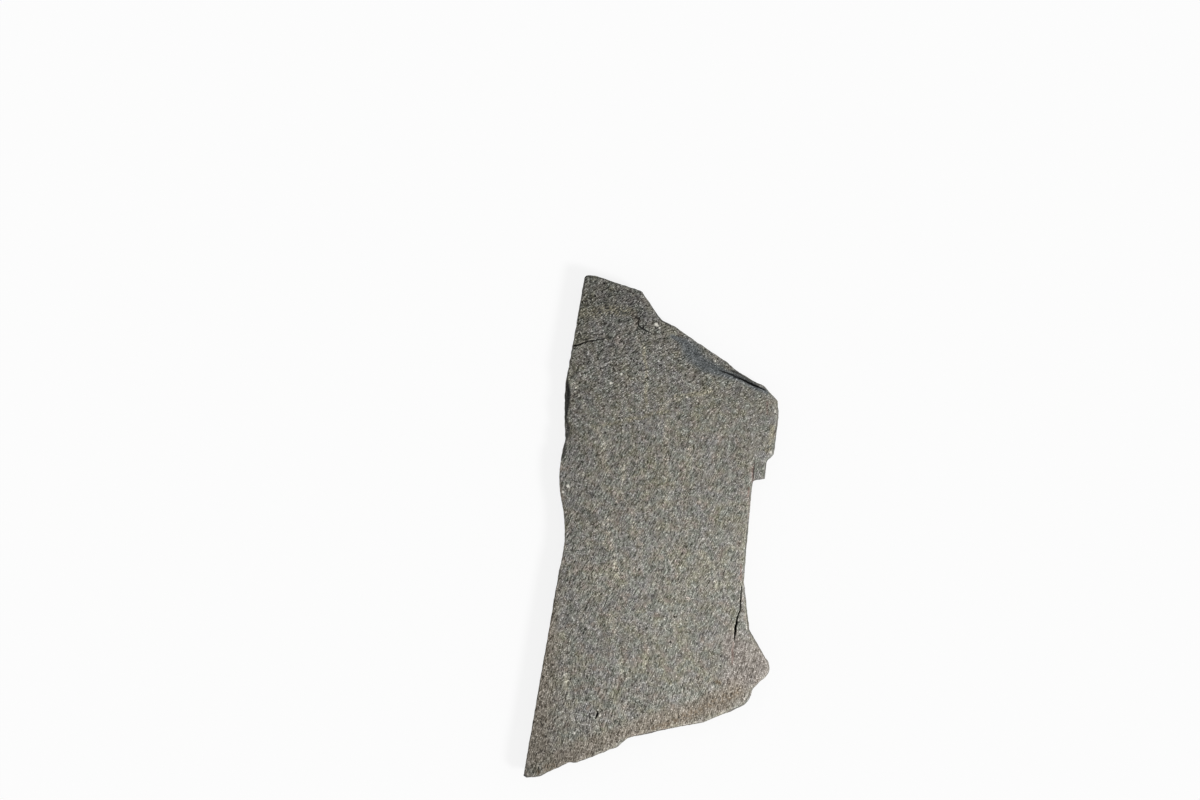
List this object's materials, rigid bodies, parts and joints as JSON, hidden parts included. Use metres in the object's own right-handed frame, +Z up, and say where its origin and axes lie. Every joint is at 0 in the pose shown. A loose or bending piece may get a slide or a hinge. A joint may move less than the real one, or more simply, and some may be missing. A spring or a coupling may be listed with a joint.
{
  "type": "garden stepping stone",
  "caption": "Irregular flat flagstone of riven grey stone with hammer-broken edges, laid on its bed in a lawn or gravel as a stepping stone.",
  "frame": {"origin": "middle of the stone's box, on its bed", "axes": "+X across the stone towards the side with the heel and the ledge, +Y along its length from the pointed foot to the head, +Z up out of the tread"},
  "size_m": [0.332, 0.653, 0.035],
  "materials": {
    "riven_stone": "riven, matt, fine salt-and-pepper grain"
  },
  "bodies": {
    "root": {"stepping_stone": "riven_stone"}
  },
  "joints": []
}
